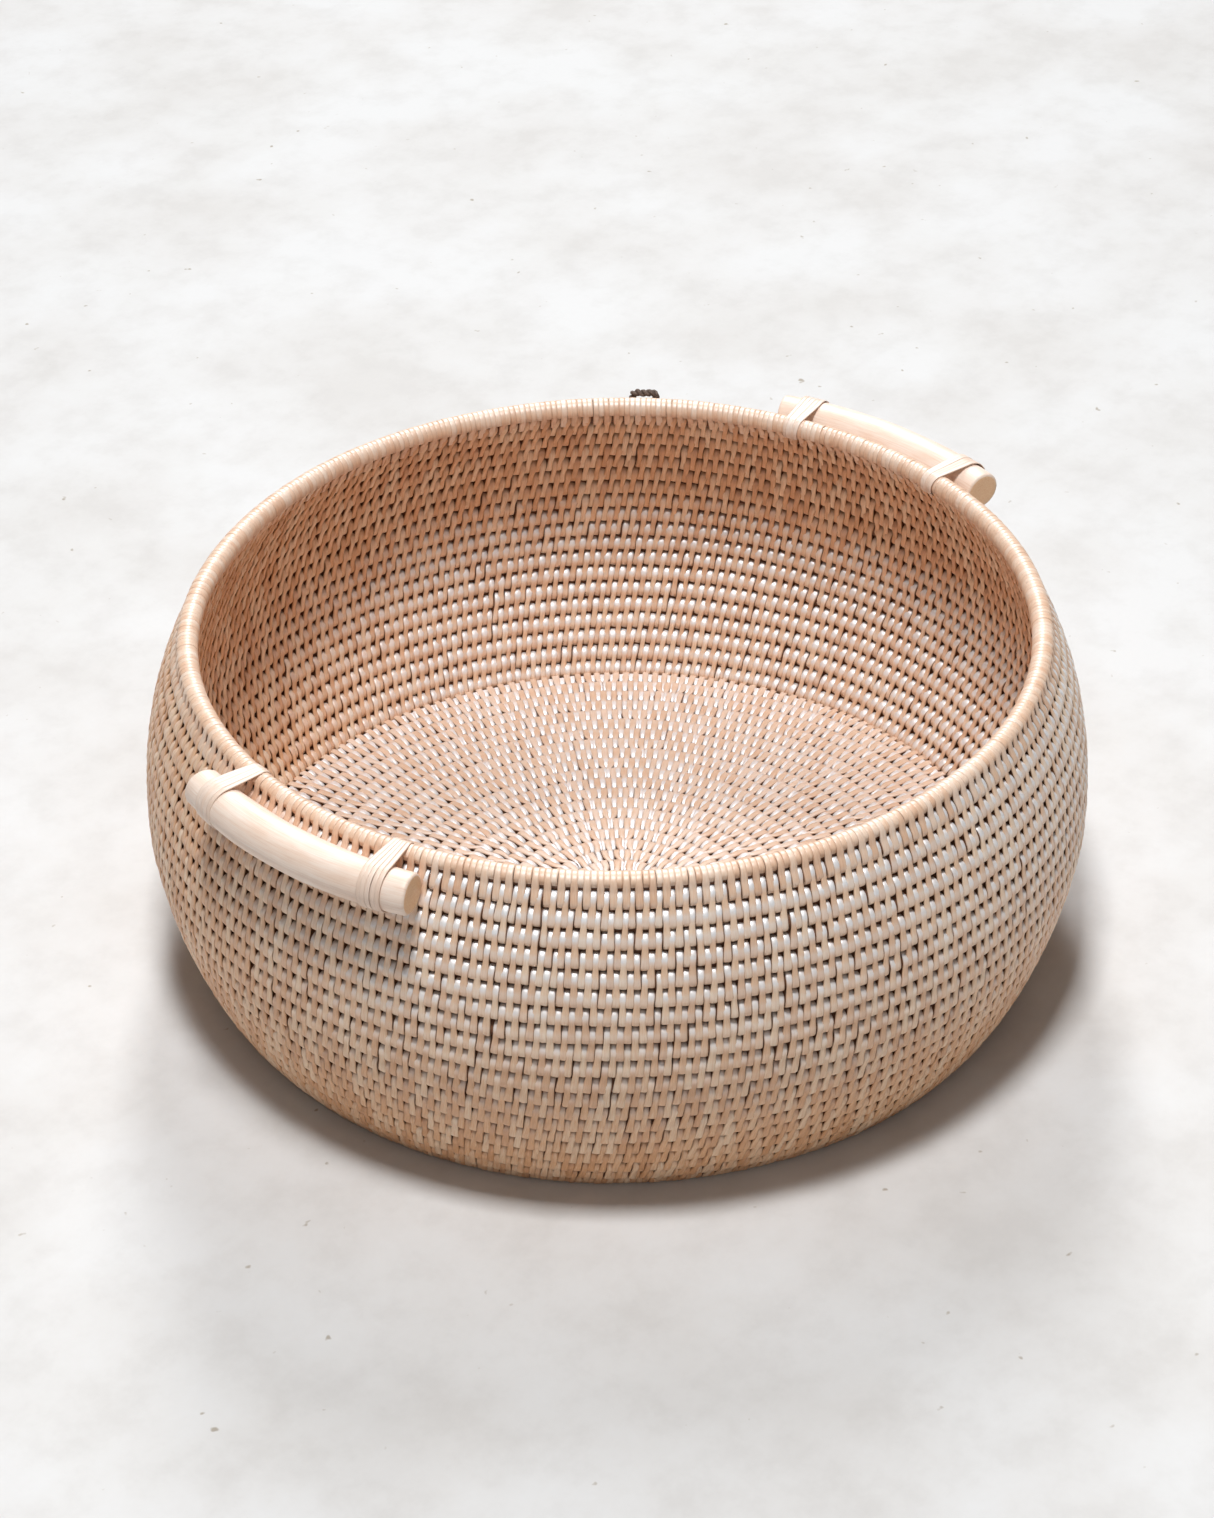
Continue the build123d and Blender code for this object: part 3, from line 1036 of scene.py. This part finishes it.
def tube(path, radius, sides):
    """Points and faces of a closed tube along a line in space."""
    tangent = unit(np.gradient(path, axis=0))
    guide = np.array([0.0, 0.0, 1.0])
    first = unit(np.cross(tangent, guide))
    second = np.cross(tangent, first)
    around = np.arange(sides) * math.tau / sides
    ring = first[:, None, :] * np.cos(around)[None, :, None]
    ring = ring + second[:, None, :] * np.sin(around)[None, :, None]
    points = (path[:, None, :] + ring * radius[:, None, None]).reshape(-1, 3)
    points = np.vstack([points, path[0], path[-1]])
    return points, *tube_faces(len(path), sides)


def make_twine():
    low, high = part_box("twine_loop")
    middle = (low + high) / 2
    angle = math.atan2(middle.y, middle.x)
    half = twine_half_width - twine_radius
    outer, top = 236.6 * MM, high.z - twine_radius
    route = [(outer - 5 * MM, -half, 176 * MM), (outer, -half, 182 * MM)]
    route += [(outer - 3 * MM, -half, 189 * MM), (231 * MM, -half + 1 * MM, top - 1 * MM)]
    route += [(229.5 * MM, 0.0, top)] + [(r, -across, z) for r, across, z in route[::-1]]
    line, _ = smooth_path(route, 90)
    out = np.array([math.cos(angle), math.sin(angle), 0.0])
    across = np.array([-math.sin(angle), math.cos(angle), 0.0])
    path = line[:, :1] * out + line[:, 1:2] * across + line[:, 2:] * np.array([0.0, 0.0, 1.0])
    tangent = unit(np.gradient(path, axis=0))
    first = unit(np.cross(tangent, out + 1e-6))
    second = np.cross(tangent, first)
    turns = np.linspace(0, twine_twists * math.tau, len(path))
    all_points, all_quads, all_fans, base = [], [], [], 0
    for phase in (0.0, math.pi):
        offset = first * np.cos(turns + phase)[:, None] + second * np.sin(turns + phase)[:, None]
        strand = path + offset * 0.95 * twine_ply_radius
        points, quads, fan = tube(strand, np.full(len(path), twine_ply_radius), 8)
        all_points.append(points)
        all_quads.append(quads + base)
        all_fans.append(fan + base)
        base += len(points)
    points, quads, fans = np.vstack(all_points), np.vstack(all_quads), np.vstack(all_fans)
    add_piece("twine", points, quads, fans, {}, twine_material(), ["twine_loop"])


make_twine()

# ---------------------------------------------------------------- floor and light


def stage_material():
    material, tree, shader = new_material("pale_ground")
    coordinates = tree.nodes.new("ShaderNodeTexCoord")
    place = coordinates.outputs["Object"]
    grit = noise(tree, place, 260.0, 3.0, 0.5)
    cloud = noise(tree, place, 7.0, 6.0, 0.62)
    smear = noise(tree, place, 28.0, 5.0, 0.65)
    speck = noise(tree, place, 95.0, 2.0, 0.5)
    greys = [(0.36, srgb(214, 211, 208)), (0.5, srgb(220, 218, 216)), (0.62, srgb(224, 223, 222))]
    colour = ramp(tree, cloud, greys)
    colour = tinted(tree, colour, grey_ramp(tree, smear, [(0.34, 0.97), (0.52, 1.0)]))
    colour = tinted(tree, colour, grey_ramp(tree, grit, [(0.3, 0.99), (0.7, 1.0)]))
    specks = ramp(tree, speck, [(0.73, (1.0, 1.0, 1.0)), (0.78, srgb(205, 196, 184))])
    colour = tinted(tree, colour, specks)
    tree.links.new(colour, shader.inputs["Base Color"])
    shader.inputs["Roughness"].default_value = 0.8
    shader.inputs["Specular IOR Level"].default_value = 0.2
    bump(tree, shader, smear, 0.06, 0.5 * MM)
    return material


def make_stage():
    half = 12.0
    mesh = bpy.data.meshes.new("ground")
    corners = [(-half, -half, 0), (half, -half, 0), (half, half, 0), (-half, half, 0)]
    mesh.from_pydata(corners, [], [(0, 1, 2, 3)])
    mesh.materials.append(stage_material())
    ground = bpy.data.objects.new("ground", mesh)
    bpy.context.scene.collection.objects.link(ground)


def area_light(name, place, size, power, colour):
    data = bpy.data.lights.new(name, "AREA")
    data.shape = "RECTANGLE"
    data.size, data.size_y = size
    data.energy = power
    data.color = colour
    light = bpy.data.objects.new(name, data)
    bpy.context.scene.collection.objects.link(light)
    light.location = place
    aim = Vector((0, 0, 0.1)) - Vector(place)
    light.rotation_mode = "QUATERNION"
    light.rotation_quaternion = aim.to_track_quat("-Z", "Y")


def make_light():
    right, ahead, up = view_axes()
    overhead = -0.5 * ahead - 0.12 * right + 2.9 * up
    area_light("overhead", tuple(overhead), (0.5, 0.5), 68.0, (0.97, 0.985, 1.0))
    behind = 3.2 * ahead - 0.05 * right + 2.95 * up
    area_light("behind", tuple(behind), (0.7, 2.1), 118.0, (0.97, 0.985, 1.0))
    front = -1.9 * ahead + 1.7 * up
    area_light("front", tuple(front), (2.0, 1.6), 5.0, (1.0, 0.985, 0.96))
    world = bpy.data.worlds.new("world")
    bpy.context.scene.world = world
    world.use_nodes = True
    background = world.node_tree.nodes["Background"]
    background.inputs["Color"].default_value = (1.0, 1.0, 1.0, 1.0)
    background.inputs["Strength"].default_value = 0.09


make_stage()
make_light()
bpy.context.scene.view_settings.view_transform = "Standard"
